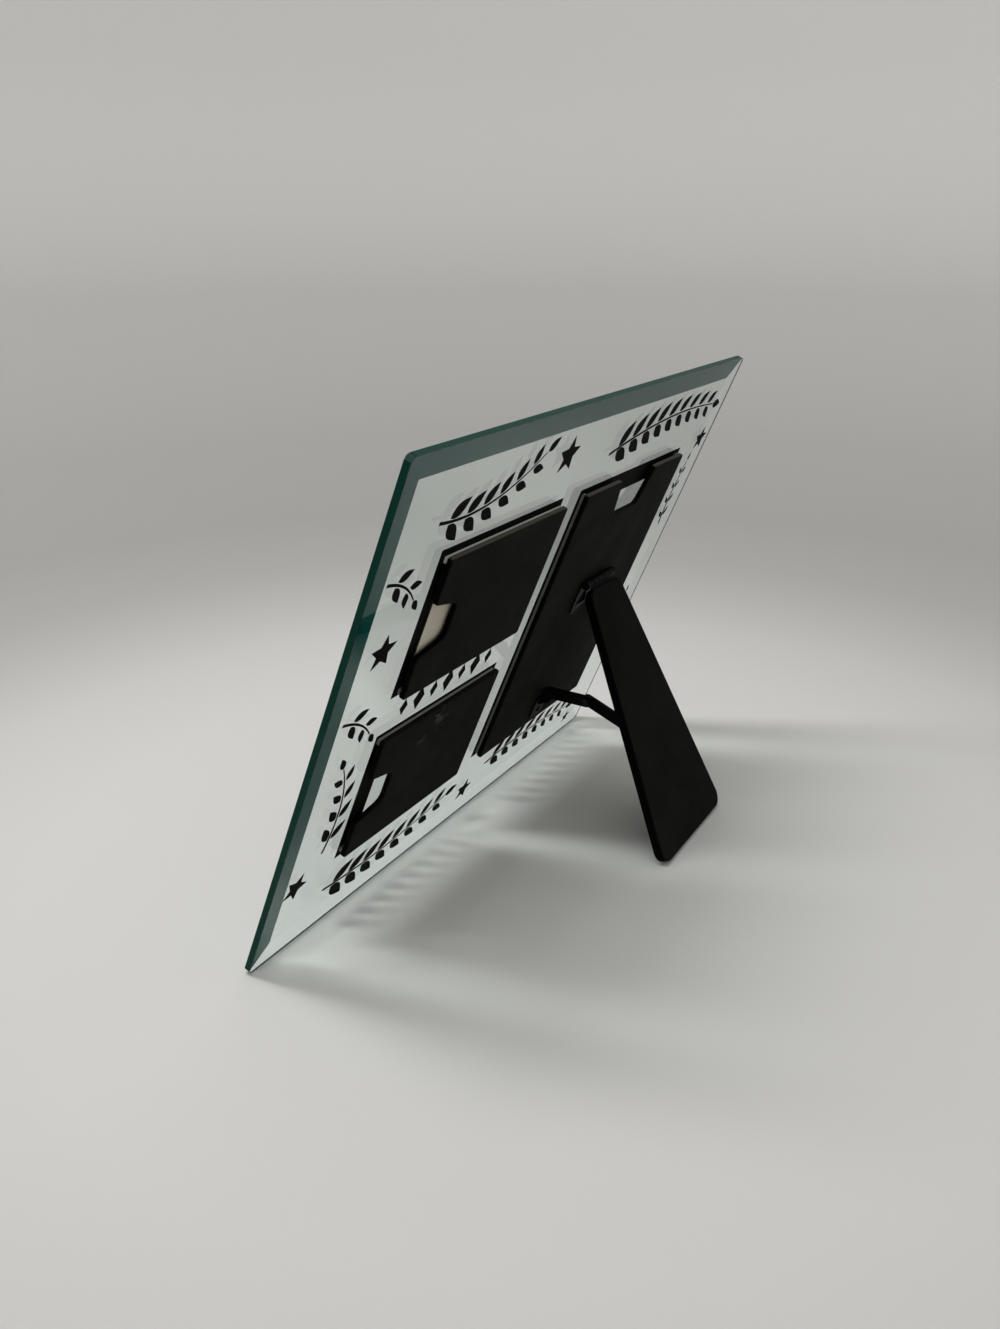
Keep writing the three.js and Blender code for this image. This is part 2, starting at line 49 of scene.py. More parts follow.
UP_GLASS = Vector((0, math.sin(LEAN), math.cos(LEAN)))
OFF_GLASS = Vector((0, math.cos(LEAN), -math.sin(LEAN)))
LOWER_EDGE = Vector((0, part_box("glass_panel")[0].y + RIM * math.cos(LEAN), 0))


def linear(colour):
    """An sRGB hex colour as linear red, green, blue and alpha."""
    parts = [int(colour[i : i + 2], 16) / 255 for i in (1, 3, 5)]
    return [c / 12.92 if c <= 0.04045 else ((c + 0.055) / 1.055) ** 2.4 for c in parts] + [1.0]


def add(tree, kind, links=None, **settings):
    """Adds a node; links gives each socket a value or another node's output."""
    node = tree.nodes.new(kind)
    for name, value in settings.items():
        setattr(node, name, value)
    for socket, value in (links or {}).items():
        if isinstance(value, bpy.types.NodeSocket):
            tree.links.new(value, node.inputs[socket])
        else:
            node.inputs[socket].default_value = value
    return node


def new_material(name):
    """An empty material and the tree that its nodes go into."""
    material = bpy.data.materials.new(name)
    material.use_nodes = True
    material.node_tree.nodes.clear()
    return material, material.node_tree


def dress(material, *names):
    """Gives the named CAD nodes their material."""
    for name in names:
        cad_nodes[name].material_slots[0].material = material


# Float glass, floated on tin and polished on the bevel: clear through its thickness. Its rim and
# bevel carry painted light: a dull surface, deep green at the rim and sea green where the bevel
# throws the light back along the sheet, stands in for the light carried inside the glass.
float_glass, tree = new_material("float_glass_polished")
place = add(tree, "ShaderNodeTexCoord")
sheet = add(
    tree,
    "ShaderNodeMapping",
    {"Vector": place.outputs["Object"], "Location": LOWER_EDGE, "Rotation": (-LEAN, 0, 0)},
    vector_type="TEXTURE",
)
spot = add(tree, "ShaderNodeSeparateXYZ", {"Vector": sheet.outputs["Vector"]})

# The distance to the nearest edge tells rim, bevel and flat apart, with a slack of 0.1 mm.
SLACK = 0.0001
from_middle = add(tree, "ShaderNodeMath", {0: spot.outputs["X"]}, operation="ABSOLUTE")
to_side = add(
    tree,
    "ShaderNodeMath",
    {0: GLASS_WIDTH / 2, 1: from_middle.outputs[0]},
    operation="SUBTRACT",
)
to_top = add(tree, "ShaderNodeMath", {0: GLASS_HEIGHT, 1: spot.outputs["Z"]}, operation="SUBTRACT")
to_end = add(tree, "ShaderNodeMath", {0: to_top.outputs[0], 1: spot.outputs["Z"]}, operation="MINIMUM")
to_edge = add(tree, "ShaderNodeMath", {0: to_side.outputs[0], 1: to_end.outputs[0]}, operation="MINIMUM")
in_front = add(tree, "ShaderNodeMath", {0: spot.outputs["Y"], 1: -SLACK}, operation="LESS_THAN")
near_edge = add(tree, "ShaderNodeMath", {0: to_edge.outputs[0], 1: BEVEL - SLACK}, operation="LESS_THAN")
ground = add(
    tree,
    "ShaderNodeMath",
    {0: in_front.outputs[0], 1: near_edge.outputs[0]},
    operation="MULTIPLY",
)
at_edge = add(tree, "ShaderNodeMath", {0: to_edge.outputs[0], 1: 2 * SLACK}, operation="LESS_THAN")
rim = add(tree, "ShaderNodeMath", {0: in_front.outputs[0], 1: at_edge.outputs[0]}, operation="MULTIPLY")

# Marks left by wiping, some 28 mm across, dull the polish by a trace.
WIPE_MARK = 0.028
wiping = add(
    tree,
    "ShaderNodeTexNoise",
    {"Vector": place.outputs["Object"], "Scale": 1 / WIPE_MARK, "Detail": 3.0, "Distortion": 1.2},
)
haze = add(
    tree,
    "ShaderNodeMapRange",
    {"Value": wiping.outputs["Fac"], "From Min": 0.5, "From Max": 0.8, "To Min": 0.0, "To Max": 0.006},
)
pane = add(
    tree,
    "ShaderNodeBsdfPrincipled",
    {
        "Base Color": linear("#fbfefd"),
        "Roughness": haze.outputs["Result"],
        "IOR": 1.52,
        "Transmission Weight": 1.0,
    },
)

# Painted light: the rim from outside, and the bevel where it mirrors all the light that comes
# from within, are shaded as a dull surface in the colour that the glass has along its whole
# length, in place of the light that the glass carries there.
WHOLE_MIRROR = 0.97
painted_edge_tint = add(
    tree,
    "ShaderNodeMix",
    {"Factor": rim.outputs[0], 6: linear("#145c5a"), 7: linear("#0f3a32")},
    data_type="RGBA",
)
painted_edge_light = add(
    tree,
    "ShaderNodeBsdfPrincipled",
    {"Base Color": painted_edge_tint.outputs[2], "Roughness": 0.3, "IOR": 1.52, "Specular IOR Level": 0.04},
)
mirrored = add(tree, "ShaderNodeFresnel", {"IOR": 1.52})
thrown_back = add(
    tree,
    "ShaderNodeMath",
    {0: mirrored.outputs["Fac"], 1: WHOLE_MIRROR},
    operation="GREATER_THAN",
)
side_seen = add(tree, "ShaderNodeNewGeometry")
outside = add(tree, "ShaderNodeMath", {0: 1.0, 1: side_seen.outputs["Backfacing"]}, operation="SUBTRACT")
held = add(
    tree,
    "ShaderNodeMapRange",
    {"Value": rim.outputs[0], "To Min": thrown_back.outputs[0], "To Max": outside.outputs[0]},
)
share = add(
    tree,
    "ShaderNodeMath",
    {0: ground.outputs[0], 1: held.outputs["Result"]},
    operation="MULTIPLY",
)
body = add(
    tree,
    "ShaderNodeMixShader",
    {0: share.outputs[0], 1: pane.outputs["BSDF"], 2: painted_edge_light.outputs["BSDF"]},
)

# The lamp's light goes straight through the flat of the sheet. In the bevel, and in the wider
# strip of the back that its light leaves by, the glass bends it into streaks on the table.
BENT_STRIP = 0.006
behind = add(tree, "ShaderNodeMath", {0: 1.0, 1: in_front.outputs[0]}, operation="SUBTRACT")
widening = add(tree, "ShaderNodeMath", {0: behind.outputs[0], 1: BENT_STRIP}, operation="MULTIPLY")
inward = add(
    tree,
    "ShaderNodeMath",
    {0: to_edge.outputs[0], 1: widening.outputs[0]},
    operation="SUBTRACT",
)
bending = add(tree, "ShaderNodeMath", {0: inward.outputs[0], 1: BEVEL - SLACK}, operation="LESS_THAN")
let_through = add(
    tree,
    "ShaderNodeMix",
    {"Factor": bending.outputs[0], 6: linear("#f6f7f6"), 7: linear("#000000")},
    data_type="RGBA",
)
lamp_light = add(tree, "ShaderNodeBsdfTransparent", {"Color": let_through.outputs[2]})
table_light = add(
    tree,
    "ShaderNodeMixShader",
    {0: bending.outputs[0], 1: lamp_light.outputs["BSDF"], 2: body.outputs["Shader"]},
)
path = add(tree, "ShaderNodeLightPath")
lit_through = add(
    tree,
    "ShaderNodeMixShader",
    {0: path.outputs["Is Shadow Ray"], 1: body.outputs["Shader"], 2: lamp_light.outputs["BSDF"]},
)
surface = add(
    tree,
    "ShaderNodeMixShader",
    {
        0: path.outputs["Is Diffuse Ray"],
        1: lit_through.outputs["Shader"],
        2: table_light.outputs["Shader"],
    },
)
green_body = add(tree, "ShaderNodeVolumeAbsorption", {"Color": linear("#59e2ce"), "Density": 11.0})
add(
    tree,
    "ShaderNodeOutputMaterial",
    {"Surface": surface.outputs["Shader"], "Volume": green_body.outputs["Volume"]},
)
dress(float_glass, "glass_panel")


# Print on the back of the glass: one coat of black ink, screened straight on the glass. It
# draws a border round each picture, with stars, leafy sprigs and a row of lozenges between.
# Its places and sizes are in millimetres on the sheet, from the middle of its lower edge.
INK_OFF = 0.02
INK_COAT = 0.06


def on_back(x, up, off):
    """The point at x and up on the sheet and off behind its back, all in millimetres."""
    return LOWER_EDGE + Vector((x, 0, 0)) / 1000 + UP_GLASS * up / 1000 + OFF_GLASS * off / 1000


def ink_shape(mesh, outer, inner=None):
    """A closed, flat island of ink within an outline, or between an outer and an inner one."""
    rings = []
    for off in (INK_OFF, INK_OFF + INK_COAT):
        for outline in (outer, inner) if inner else (outer,):
            rings.append([mesh.verts.new(on_back(x, up, off)) for x, up in outline])
    if inner:
        low_out, low_in, high_out, high_in = rings
        walls = [(low_out, high_out), (high_out, high_in), (high_in, low_in), (low_in, low_out)]
    else:
        low, high = rings
        walls = [(low, high)]
        mesh.faces.new(reversed(low))
        mesh.faces.new(high)
    count = len(outer)
    for first, second in walls:
        for i in range(count):
            j = (i + 1) % count
            mesh.faces.new((first[i], first[j], second[j], second[i]))


def finished(name, mesh, material):
    """The mesh as a named object in one material."""
    bmesh.ops.recalc_face_normals(mesh, faces=mesh.faces)
    data = bpy.data.meshes.new(name)
    mesh.to_mesh(data)
    mesh.free()
    data.materials.append(material)
    piece = bpy.data.objects.new(name, data)
    bpy.context.scene.collection.objects.link(piece)
    return piece


# Screen ink: dense, dull black with the faint tooth of the screen it was pressed through.
# The tooth is drawn at about twice the thread spacing of a usual screen, to show close up.
SCREEN_TOOTH = 0.00035
screen_ink, tree = new_material("black_screen_ink")
place = add(tree, "ShaderNodeTexCoord")
tooth = add(
    tree,
    "ShaderNodeTexNoise",
    {"Vector": place.outputs["Object"], "Scale": 1 / SCREEN_TOOTH, "Detail": 2.0},
)
shade = add(
    tree,
    "ShaderNodeMix",
    {"Factor": tooth.outputs["Fac"], 6: linear("#070706"), 7: linear("#10100f")},
    data_type="RGBA",
)
relief = add(
    tree,
    "ShaderNodeBump",
    {"Height": tooth.outputs["Fac"], "Strength": 0.15, "Distance": 0.00002},
)
ink = add(
    tree,
    "ShaderNodeBsdfPrincipled",
    {
        "Base Color": shade.outputs[2],
        "Roughness": 0.75,
        "Specular IOR Level": 0.05,
        "Normal": relief.outputs["Normal"],
    },
)
add(tree, "ShaderNodeOutputMaterial", {"Surface": ink.outputs["BSDF"]})


def printed(name, mesh):
    """Inks a mesh and lets it ride with the glass."""
    piece = finished(name, mesh, screen_ink)
    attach(piece, "frame")


# Borders: left, right, lower and upper outside edge of each, as seen from behind.
BORDER_WIDTH = 11
BORDERS = {
    "upright": (1.4, -113.0, 45.3, 202.2),
    "upper": (111.8, 18.0, 133.5, 202.5),
    "lower": (112.1, 18.4, 44.4, 114.2),
}
for name, (left, right, lower, upper) in BORDERS.items():
    border = bmesh.new()
    outer = [(left, lower), (right, lower), (right, upper), (left, upper)]
    inner = [
        (left - BORDER_WIDTH, lower + BORDER_WIDTH),
        (right + BORDER_WIDTH, lower + BORDER_WIDTH),
        (right + BORDER_WIDTH, upper - BORDER_WIDTH),
        (left - BORDER_WIDTH, upper - BORDER_WIDTH),
    ]
    ink_shape(border, outer, inner)
    printed(f"print_border_{name}", border)

# Stars: x, height and reach of each, and its turn in degrees.
STARS = (
    (130.3, 163.7, 8.4, 0),
    (30.8, 225.4, 9.0, 0),
    (137.5, 43.6, 7.8, 27),
    (-6.4, 19.0, 7.2, 10),
    (-140.1, 202.8, 7.2, 0),
    (-128.1, 12.4, 4.6, 0),
)
STAR_POINTS = 5
STAR_WAIST = 0.46
stars = bmesh.new()
for x, up, size, turn in STARS:
    tips = []
    for i in range(2 * STAR_POINTS):
        angle = math.radians(90 + turn + 180 / STAR_POINTS * i)
        reach = size * (STAR_WAIST if i % 2 else 1)
        tips.append((x + reach * math.cos(angle), up + reach * math.sin(angle)))
    ink_shape(stars, tips)
printed("print_stars", stars)

# Leafy sprigs: where each starts and ends, how far it bows, its pairs of leaves and their length.
SPRIGS = (
    ((121, 216), (53, 231), 7, 6, 13),
    ((-14, 217), (-134, 224), -5, 9, 15),
    ((143, 197), (121, 184), -2.5, 2, 10),
    ((142, 134), (119, 119), -2.5, 2, 10),
    ((125, 56), (130, 106), 5, 4, 11),
    ((113, 25), (16, 27), 4, 8, 15),
    ((-22, 29), (-120, 24), -4, 8, 13),
    ((-134, 62), (-135, 104), 2, 4, 6.5),
    ((-136, 150), (-135, 190), -2, 4, 6.5),
)
STEM = 1.5
STEM_STEPS = 24
STEM_TAPER = 0.6
FIRST_PAIR = 0.6
LEAF_GAP = 0.5
LEAF_TURN = math.radians(38)
LEAF_BREADTH = 0.24
LEAF_SWELL = 0.8
LEAF_STEPS = 7
LEAF_SHRINK = 0.35
TIP_LEAF = 0.7


def leaf_outline(root, angle, length):
    """A leaf from its root: a lens that swells before its middle and ends in a point."""
    along = Vector((math.cos(angle), math.sin(angle)))
    across = Vector((-along.y, along.x))
    sides = []
    for i in range(1, LEAF_STEPS):
        t = i / LEAF_STEPS
        sides.append((t * length, LEAF_BREADTH * length * math.sin(math.pi * t**LEAF_SWELL)))
    edge = [(0, 0)] + sides + [(length, 0)] + [(a, -b) for a, b in reversed(sides)]
    return [tuple(root + along * a + across * b) for a, b in edge]


def stem_at(start, middle, end, t):
    """The point at share t of a bowed stem, its heading and the way across it."""
    point = start * (1 - t) ** 2 + middle * 2 * t * (1 - t) + end * t * t
    heading = ((middle - start) * (1 - t) + (end - middle) * t).normalized()
    return point, heading, Vector((-heading.y, heading.x))


sprigs = bmesh.new()
for start, end, bow, pairs, leaf in SPRIGS:
    start, end = Vector(start), Vector(end)
    side = Vector((start.y - end.y, end.x - start.x)).normalized()
    middle = (start + end) / 2 + side * 2 * bow
    left, right = [], []
    for i in range(STEM_STEPS + 1):
        t = i / STEM_STEPS
        point, heading, across = stem_at(start, middle, end, t)
        half = STEM * (1 - STEM_TAPER * t) / 2
        left.append(tuple(point + across * half))
        right.append(tuple(point - across * half))
    ink_shape(sprigs, left + right[::-1])
    for pair in range(pairs):
        t = (pair + FIRST_PAIR) / (pairs + 1 - FIRST_PAIR)
        point, heading, across = stem_at(start, middle, end, t)
        ahead = math.atan2(heading.y, heading.x)
        for hand in (1, -1):
            root = point + across * hand * (STEM / 2 + LEAF_GAP)
            ink_shape(sprigs, leaf_outline(root, ahead + hand * LEAF_TURN, leaf * (1 - LEAF_SHRINK * t)))
    last = end - middle
    tip = end + last.normalized() * LEAF_GAP
    ink_shape(sprigs, leaf_outline(tip, math.atan2(last.y, last.x), leaf * TIP_LEAF))
printed("print_sprigs", sprigs)

# Lozenges: a row between the two lying pictures, small and large in turn, each size given
# as half its width and half its height.
LOZENGES = 7
LOZENGE_STEP = 11
LOZENGE_START = 32
LOZENGE_UP = 123.4
SMALL_LOZENGE = (2.8, 4.4)
LARGE_LOZENGE = (4.0, 6.4)
lozenges = bmesh.new()
for i in range(LOZENGES):
    x = LOZENGE_START + i * LOZENGE_STEP
    up = LOZENGE_UP
    wide, tall = LARGE_LOZENGE if i % 2 else SMALL_LOZENGE
    ink_shape(lozenges, [(x - wide, up), (x, up - tall), (x + wide, up), (x, up + tall)])
printed("print_lozenges", lozenges)


# Strips between glass and boards: narrow lengths of card, glued on both sides along three
# sides of each pocket. They leave the slit that a picture slides into, and show as a thin
# line along a board's closed edges.
CARD_FIBRE = 0.0008


def cut_card(name, dark, light):
    """Cut card: dull, its wood fibres showing as fine flecks of the two tones."""
    material, tree = new_material(name)
    place = add(tree, "ShaderNodeTexCoord")
    fibre = add(
        tree,
        "ShaderNodeTexNoise",
        {"Vector": place.outputs["Object"], "Scale": 1 / CARD_FIBRE, "Detail": 4.0},
    )
    tone = add(
        tree,
        "ShaderNodeMix",
        {"Factor": fibre.outputs["Fac"], 6: linear(dark), 7: linear(light)},
        data_type="RGBA",
    )
    relief = add(
        tree,
        "ShaderNodeBump",
        {"Height": fibre.outputs["Fac"], "Strength": 0.3, "Distance": 0.00006},
    )
    card = add(
        tree,
        "ShaderNodeBsdfPrincipled",
        {
            "Base Color": tone.outputs[2],
            "Roughness": 0.85,
            "Specular IOR Level": 0.2,
            "Normal": relief.outputs["Normal"],
        },
    )
    add(tree, "ShaderNodeOutputMaterial", {"Surface": card.outputs["BSDF"]})
    return material


# White card: pale and a little warm, the card's own tone, on the top strip of the upper pocket
# where the light falls; the brightest line on the back of the frame.
dress(cut_card("white_card_cut", "#c8c7c0", "#dbdad3"), "upper_spacer_top")
# Grey card: the same card painted a dimmer grey as painted shade, for the strips that lie in
# the boards' shade; a dim line beside the black paper.
dress(
    cut_card("card_cut_painted_shade", "#6c6b66", "#83827c"),
    *(f"upper_spacer_{side}" for side in ("bottom", "end")),
    *(f"lower_spacer_{side}" for side in ("bottom", "top", "end")),
    *(f"portrait_spacer_{side}" for side in ("left", "right", "bottom")),
)


# Pocket boards and easel leg: fibreboard of 2.4 mm, and of 4.8 mm for the leg, wrapped in
# black paper that is drawn over the edges and glued down. The boards are stuck to the
# strips, and the leg hangs on its hinge.

# Black covering paper, calendered: matt, with a fine felt grain. The flats are rubbed a
# little grey and cloudy, and catch a faint light at a low angle. The sides are painted
# near black as painted shade.
# The grain is drawn some three times as coarse as the real one, to show in the render.
FELT_GRAIN = 0.0006
RUB = 0.022
covering_paper, tree = new_material("black_covering_paper_calendered")
place = add(tree, "ShaderNodeTexCoord")
felt = add(
    tree,
    "ShaderNodeTexNoise",
    {"Vector": place.outputs["Object"], "Scale": 1 / FELT_GRAIN, "Detail": 3.0, "Roughness": 0.6},
)
rubbed = add(
    tree,
    "ShaderNodeTexNoise",
    {"Vector": place.outputs["Object"], "Scale": 1 / RUB, "Detail": 5.0, "Roughness": 0.65},
)
wear = add(
    tree,
    "ShaderNodeMapRange",
    {"Value": rubbed.outputs["Fac"], "From Min": 0.35, "From Max": 0.75},
)
cloudy = add(
    tree,
    "ShaderNodeMix",
    {"Factor": wear.outputs["Result"], 6: linear("#131311"), 7: linear("#181816")},
    data_type="RGBA",
)

# One scuff near the top of the lower board: pale flecks of about 4 mm, drawn out sideways.
SCUFF_FLECK = 0.004
SCUFF_STRETCH = 2.5
SCUFF_AT = on_back(73, 106, 4.2)
SCUFF_CORE = 0.004
SCUFF_END = 0.014
drawn_out = add(
    tree,
    "ShaderNodeVectorMath",
    {0: place.outputs["Object"], 1: (1 / SCUFF_STRETCH, 1, 1)},
    operation="MULTIPLY",
)
scratched = add(
    tree,
    "ShaderNodeTexNoise",
    {"Vector": drawn_out.outputs["Vector"], "Scale": 1 / SCUFF_FLECK, "Detail": 5.0, "Distortion": 0.4},
)
flecks = add(
    tree,
    "ShaderNodeMapRange",
    {"Value": scratched.outputs["Fac"], "From Min": 0.52, "From Max": 0.66},
)
from_scuff = add(
    tree,
    "ShaderNodeVectorMath",
    {0: place.outputs["Object"], 1: SCUFF_AT},
    operation="DISTANCE",
)
around = add(
    tree,
    "ShaderNodeMapRange",
    {"Value": from_scuff.outputs["Value"], "From Min": SCUFF_END, "From Max": SCUFF_CORE},
)
scuff = add(
    tree,
    "ShaderNodeMath",
    {0: flecks.outputs["Result"], 1: around.outputs["Result"]},
    operation="MULTIPLY",
)
scuffed = add(
    tree,
    "ShaderNodeMix",
    {"Factor": scuff.outputs[0], 6: cloudy.outputs[2], 7: linear("#4b4b48")},
    data_type="RGBA",
)

# Flats face nearly along Y, on the boards and on the opened leg alike, and sides don't.
facing = add(tree, "ShaderNodeSeparateXYZ", {"Vector": place.outputs["Normal"]})
along_y = add(tree, "ShaderNodeMath", {0: facing.outputs["Y"]}, operation="ABSOLUTE")
flat = add(tree, "ShaderNodeMapRange", {"Value": along_y.outputs[0], "From Min": 0.6, "From Max": 0.9})
# Painted shade: the sides get a near-black colour, standing in for the shade on them.
sides_painted_shade = add(
    tree,
    "ShaderNodeMix",
    {"Factor": flat.outputs["Result"], 6: linear("#030303"), 7: scuffed.outputs[2]},
    data_type="RGBA",
)

# Painted highlight: the upper sides of the two boards that reach above this height are
# coloured brown-grey, standing in for the sheen of the light from above.
TOP_SHEEN_FROM = 0.17
facing_up = add(
    tree,
    "ShaderNodeVectorMath",
    {0: place.outputs["Normal"], 1: UP_GLASS},
    operation="DOT_PRODUCT",
)
top_side = add(
    tree,
    "ShaderNodeMapRange",
    {"Value": facing_up.outputs["Value"], "From Min": 0.6, "From Max": 0.95},
)
spot = add(tree, "ShaderNodeSeparateXYZ", {"Vector": place.outputs["Object"]})
high = add(tree, "ShaderNodeMath", {0: spot.outputs["Z"], 1: TOP_SHEEN_FROM}, operation="GREATER_THAN")
painted_top_sheen = add(
    tree,
    "ShaderNodeMath",
    {0: top_side.outputs["Result"], 1: high.outputs[0]},
    operation="MULTIPLY",
)
top_sheen_painted = add(
    tree,
    "ShaderNodeMix",
    {"Factor": painted_top_sheen.outputs[0], 6: sides_painted_shade.outputs[2], 7: linear("#3f3b35")},
    data_type="RGBA",
)
gloss = add(
    tree,
    "ShaderNodeMapRange",
    {"Value": wear.outputs["Result"], "To Min": 0.9, "To Max": 0.75},
)
grain = add(
    tree,
    "ShaderNodeBump",
    {"Height": felt.outputs["Fac"], "Strength": 0.25, "Distance": 0.00005},
)
paper = add(
    tree,
    "ShaderNodeBsdfPrincipled",
    {
        "Base Color": top_sheen_painted.outputs[2],
        "Roughness": gloss.outputs["Result"],
        "Specular IOR Level": 0.04,
        "Sheen Weight": 0.025,
        "Sheen Roughness": 0.35,
        "Normal": grain.outputs["Normal"],
    },
)
add(tree, "ShaderNodeOutputMaterial", {"Surface": paper.outputs["BSDF"]})
dress(covering_paper, "upper_board", "lower_board", "portrait_board", "easel_leg")


# Card in the upper pocket: a loose piece of cream board, cut to the size of a picture. It
# slides in at the open side, between the strips, and holds the picture's place.

# Uncoated cream board: warm and dull, with soft clouds and short wood fibres in it. Its cut
# edges are painted dark brown as painted shade.
CLOUD = 0.012
PULP_FIBRE = 0.0005
cream_board, tree = new_material("cream_board_uncoated")
place = add(tree, "ShaderNodeTexCoord")
clouds = add(
    tree,
    "ShaderNodeTexNoise",
    {"Vector": place.outputs["Object"], "Scale": 1 / CLOUD, "Detail": 4.0},
)
pulp = add(
    tree,
    "ShaderNodeTexNoise",
    {"Vector": place.outputs["Object"], "Scale": 1 / PULP_FIBRE, "Detail": 3.0},
)
cloudy = add(
    tree,
    "ShaderNodeMix",
    {"Factor": clouds.outputs["Fac"], 6: linear("#c4bcad"), 7: linear("#d2cabb")},
    data_type="RGBA",
)
facing = add(tree, "ShaderNodeSeparateXYZ", {"Vector": place.outputs["Normal"]})
along_y = add(tree, "ShaderNodeMath", {0: facing.outputs["Y"]}, operation="ABSOLUTE")
flat = add(tree, "ShaderNodeMapRange", {"Value": along_y.outputs[0], "From Min": 0.6, "From Max": 0.9})
edges_painted_shade = add(
    tree,
    "ShaderNodeMix",
    {"Factor": flat.outputs["Result"], 6: linear("#2c2722"), 7: cloudy.outputs[2]},
    data_type="RGBA",
)
relief = add(
    tree,
    "ShaderNodeBump",
    {"Height": pulp.outputs["Fac"], "Strength": 0.3, "Distance": 0.00005},
)
board = add(
    tree,
    "ShaderNodeBsdfPrincipled",
    {
        "Base Color": edges_painted_shade.outputs[2],
        "Roughness": 0.8,
        "Specular IOR Level": 0.3,
        "Normal": relief.outputs["Normal"],
    },
)
add(tree, "ShaderNodeOutputMaterial", {"Surface": board.outputs["BSDF"]})
dress(cream_board, "photo_insert")


# Leg hinge and folding stay: leaves, brackets and bars pressed from thin sheet steel, and a
# pin of wire, all lacquered black. The leg's leaf sits in a slot in its top end, and the
# other leaf and the brackets hold by prongs pressed into board and leg.

# Black lacquered steel: dark, with a dull gloss, the grey metal rubbed through in specks.
CHIP = 0.0011
lacquered_steel, tree = new_material("black_lacquered_sheet_steel")
place = add(tree, "ShaderNodeTexCoord")
chips = add(
    tree,
    "ShaderNodeTexNoise",
    {"Vector": place.outputs["Object"], "Scale": 1 / CHIP, "Detail": 5.0, "Roughness": 0.7},
)
bare = add(
    tree,
    "ShaderNodeMapRange",
    {"Value": chips.outputs["Fac"], "From Min": 0.64, "From Max": 0.74},
)
tone = add(
    tree,
    "ShaderNodeMix",
    {"Factor": bare.outputs["Result"], 6: linear("#040404"), 7: linear("#39393a")},
    data_type="RGBA",
)
relief = add(
    tree,
    "ShaderNodeBump",
    {"Height": chips.outputs["Fac"], "Strength": 0.2, "Distance": 0.00004},
)
lacquer = add(
    tree,
    "ShaderNodeBsdfPrincipled",
    {
        "Base Color": tone.outputs[2],
        "Roughness": 0.5,
        "Metallic": bare.outputs["Result"],
        "Specular IOR Level": 0.06,
        "Normal": relief.outputs["Normal"],
    },
)
add(tree, "ShaderNodeOutputMaterial", {"Surface": lacquer.outputs["BSDF"]})
dress(lacquered_steel, "hinge_board_leaf", "hinge_leg_leaf", "hinge_pin")
dress(lacquered_steel, "stay_board_bracket", "stay_leg_bracket", "stay_board_bar", "stay_leg_bar")


# Rivets of the stay: short pins of soft steel, headed cold, one through each bracket and one
# through the two bars where they meet. The middle one is in two halves, one to each bar.

# Rivet steel, darkened by handling: grey metal, duller in patches where it was hammered.
HAMMER_MARK = 0.0007
rivet_steel, tree = new_material("rivet_steel_darkened")
place = add(tree, "ShaderNodeTexCoord")
marks = add(
    tree,
    "ShaderNodeTexNoise",
    {"Vector": place.outputs["Object"], "Scale": 1 / HAMMER_MARK, "Detail": 3.0},
)
tone = add(
    tree,
    "ShaderNodeMix",
    {"Factor": marks.outputs["Fac"], 6: linear("#141416"), 7: linear("#2a2a2c")},
    data_type="RGBA",
)
dull = add(tree, "ShaderNodeMapRange", {"Value": marks.outputs["Fac"], "To Min": 0.3, "To Max": 0.5})
relief = add(
    tree,
    "ShaderNodeBump",
    {"Height": marks.outputs["Fac"], "Strength": 0.25, "Distance": 0.00005},
)
steel = add(
    tree,
    "ShaderNodeBsdfPrincipled",
    {
        "Base Color": tone.outputs[2],
        "Metallic": 1.0,
        "Roughness": dull.outputs["Result"],
        "Normal": relief.outputs["Normal"],
    },
)
add(tree, "ShaderNodeOutputMaterial", {"Surface": steel.outputs["BSDF"]})
dress(rivet_steel, "stay_board_rivet", "stay_leg_rivet")
dress(rivet_steel, "stay_middle_rivet_left", "stay_middle_rivet_right")


# Studio: a round table of pale paper that sweeps up into a wall all round it, a strip lamp
# above and in front of the frame, weak light from everywhere, and the camera behind.
TABLE_RADIUS = 0.38
TABLE_RINGS = (0.12, 0.25, TABLE_RADIUS)
SWEEP = 0.45
SWEEP_STEPS = 24
WALL = 0.3
TURNS = 96
profile = [(radius, 0.0) for radius in TABLE_RINGS]
for i in range(1, SWEEP_STEPS + 1):
    angle = math.radians(90 * i / SWEEP_STEPS)
    profile.append((TABLE_RADIUS + SWEEP * math.sin(angle), SWEEP * (1 - math.cos(angle))))
profile.append((TABLE_RADIUS + SWEEP, SWEEP + WALL))
studio = bmesh.new()
centre = studio.verts.new((0, 0, 0))
rings = []
for radius, height in profile:
    ring = []
    for i in range(TURNS):
        angle = 2 * math.pi * i / TURNS
        ring.append(studio.verts.new((radius * math.cos(angle), radius * math.sin(angle), height)))
    rings.append(ring)
for i in range(TURNS):
    j = (i + 1) % TURNS
    studio.faces.new((centre, rings[0][i], rings[0][j]))
    for low, high in zip(rings, rings[1:]):
        studio.faces.new((low[i], high[i], high[j], low[j]))
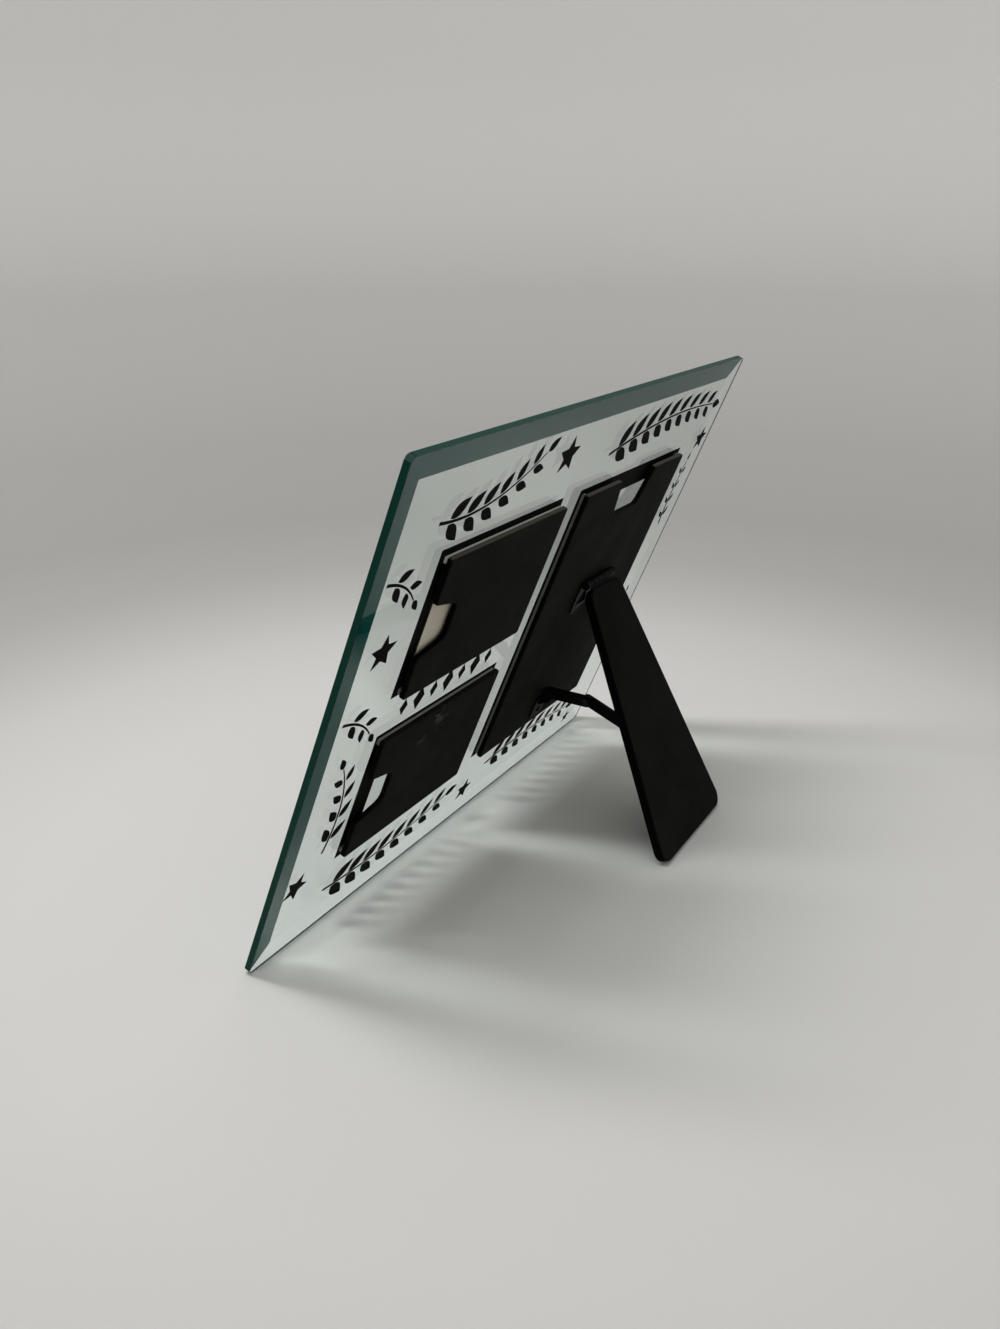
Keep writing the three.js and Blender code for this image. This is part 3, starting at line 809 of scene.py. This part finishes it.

# Studio paper: matt, its colour graded with distance from the middle as painted light and
# shade: pale on the table, greyer at the foot of the sweep as painted shade, and lighter again
# towards the wall as painted light. Each grade is a distance from the middle and its colour.
PAINTED_LIGHT_GRADES = (
    (0.25, "#d7d6d3"),
    (0.35, "#d1d0cd"),
    (0.42, "#c6c5c2"),
    (0.485, "#b9b8b5"),
    (0.56, "#b3b2af"),
    (0.655, "#bab9b6"),
    (0.77, "#cccbc8"),
    (0.83, "#eae9e6"),
)
studio_paper, tree = new_material("studio_paper_painted_light")
place = add(tree, "ShaderNodeTexCoord")
level = add(
    tree,
    "ShaderNodeVectorMath",
    {0: place.outputs["Object"], 1: (1, 1, 0)},
    operation="MULTIPLY",
)
reach = add(tree, "ShaderNodeVectorMath", {0: level.outputs["Vector"]}, operation="LENGTH")
tone = add(tree, "ShaderNodeValToRGB", {"Fac": reach.outputs["Value"]})
stops = tone.color_ramp.elements
while len(stops) < len(PAINTED_LIGHT_GRADES):
    stops.new(1.0)
for stop, (radius, colour) in zip(stops, PAINTED_LIGHT_GRADES):
    stop.position = radius
    stop.color = linear(colour)
matt = add(
    tree,
    "ShaderNodeBsdfPrincipled",
    {"Base Color": tone.outputs["Color"], "Roughness": 0.9, "Specular IOR Level": 0.1},
)
add(tree, "ShaderNodeOutputMaterial", {"Surface": matt.outputs["BSDF"]})
table = finished("studio_table", studio, studio_paper)
for face in table.data.polygons:
    face.use_smooth = True

LAMP_AT = Vector((0.2, -0.38, 1.15))
LAMP_AIM = Vector((0, 0, 0.05))
lamp = bpy.data.lights.new("front_lamp", "AREA")
lamp.shape = "RECTANGLE"
lamp.size = 0.18
lamp.size_y = 0.7
lamp.energy = 2.9
lamp.spread = math.radians(120)
lamp_holder = bpy.data.objects.new("front_lamp", lamp)
lamp_holder.location = LAMP_AT
lamp_holder.rotation_euler = (LAMP_AIM - LAMP_AT).to_track_quat("-Z", "Y").to_euler()
bpy.context.scene.collection.objects.link(lamp_holder)

sky = bpy.data.worlds.new("studio_light")
sky.use_nodes = True
sky.node_tree.nodes.clear()
glow = add(sky.node_tree, "ShaderNodeBackground", {"Color": linear("#ffffff"), "Strength": 0.6})
add(sky.node_tree, "ShaderNodeOutputWorld", {"Surface": glow.outputs["Background"]})
bpy.context.scene.world = sky

# Camera: behind the frame, above it and to the left as seen from there, worked out from the
# photograph's perspective.
CAMERA_AT = (0.4323, 0.2310, 0.2989)
CAMERA_TILT = math.radians(68.04)
CAMERA_HEADING = math.radians(120.62)
lens = bpy.data.cameras.new("camera")
lens.sensor_fit = "VERTICAL"
lens.sensor_height = 36
lens.lens = 30.12
camera = bpy.data.objects.new("camera", lens)
camera.location = CAMERA_AT
camera.rotation_euler = (CAMERA_TILT, 0, CAMERA_HEADING)
bpy.context.scene.collection.objects.link(camera)
bpy.context.scene.camera = camera
bpy.context.scene.view_settings.view_transform = "Standard"
